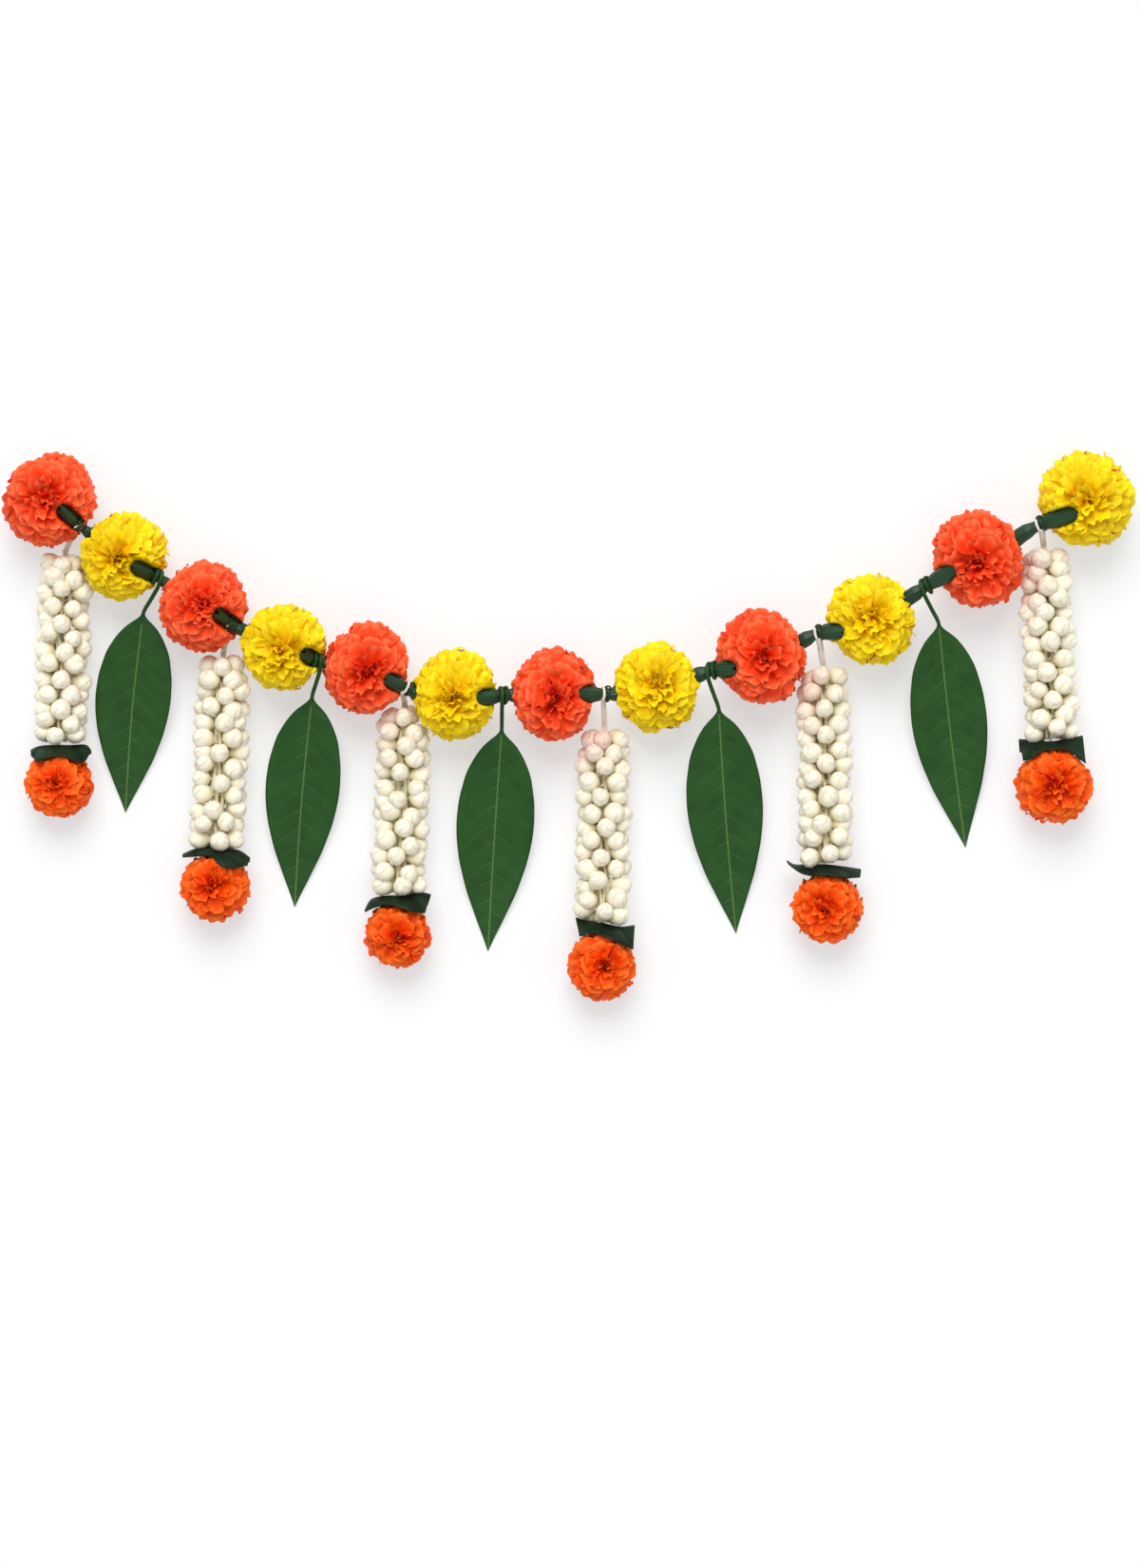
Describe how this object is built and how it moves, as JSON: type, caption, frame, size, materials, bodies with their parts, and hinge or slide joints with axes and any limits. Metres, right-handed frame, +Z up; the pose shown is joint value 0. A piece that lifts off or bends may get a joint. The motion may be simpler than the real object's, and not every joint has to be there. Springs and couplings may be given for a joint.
{
  "type": "door garland",
  "caption": "Swag of marigold balls on a string, hung in turn with jasmine bud tassels ending in small marigolds and with mango leaves, laid on its back.",
  "frame": {"origin": "middle of the garland's box seen from above, on the surface that it lies on", "axes": "+X along the swag, +Y towards its two raised ends, +Z up from the surface that it lies on"},
  "size_m": [0.8924, 0.4356, 0.0799],
  "materials": {
    "marigold_orange": "soft satin petals",
    "marigold_yellow": "soft satin petals",
    "marigold_deep_orange": "soft satin petals",
    "stalk_green": "waxy satin, ribbed",
    "mango_leaf": "waxy satin with veins",
    "collar_leaf": "waxy satin, folded",
    "jasmine_bud": "matt waxy petals",
    "cotton_thread": "twisted cotton, matt"
  },
  "bodies": {
    "root": {"marigold_01": "marigold_orange", "marigold_02": "marigold_yellow", "marigold_03": "marigold_orange", "marigold_04": "marigold_yellow", "marigold_05": "marigold_orange", "marigold_06": "marigold_yellow", "marigold_07": "marigold_orange", "marigold_08": "marigold_yellow", "marigold_09": "marigold_orange", "marigold_10": "marigold_yellow", "marigold_11": "marigold_orange", "marigold_12": "marigold_yellow", "stalk_01": "stalk_green", "stalk_02": "stalk_green", "stalk_03": "stalk_green", "stalk_04": "stalk_green", "stalk_05": "stalk_green", "stalk_06": "stalk_green", "stalk_07": "stalk_green", "stalk_08": "stalk_green", "stalk_09": "stalk_green", "stalk_10": "stalk_green", "stalk_11": "stalk_green", "mango_leaf_1": "mango_leaf", "mango_leaf_2": "mango_leaf", "mango_leaf_3": "mango_leaf", "mango_leaf_4": "mango_leaf", "mango_leaf_5": "mango_leaf", "jasmine_1": "jasmine_bud", "jasmine_2": "jasmine_bud", "jasmine_3": "jasmine_bud", "jasmine_4": "jasmine_bud", "jasmine_5": "jasmine_bud", "jasmine_6": "jasmine_bud", "collar_1": "collar_leaf", "collar_2": "collar_leaf", "collar_3": "collar_leaf", "collar_4": "collar_leaf", "collar_5": "collar_leaf", "collar_6": "collar_leaf", "end_marigold_1": "marigold_deep_orange", "end_marigold_2": "marigold_deep_orange", "end_marigold_3": "marigold_deep_orange", "end_marigold_4": "marigold_deep_orange", "end_marigold_5": "marigold_deep_orange", "end_marigold_6": "marigold_deep_orange", "tassel_thread_1": "cotton_thread", "tassel_thread_2": "cotton_thread", "tassel_thread_3": "cotton_thread", "tassel_thread_4": "cotton_thread", "tassel_thread_5": "cotton_thread", "tassel_thread_6": "cotton_thread", "main_string": "cotton_thread"}
  },
  "joints": []
}
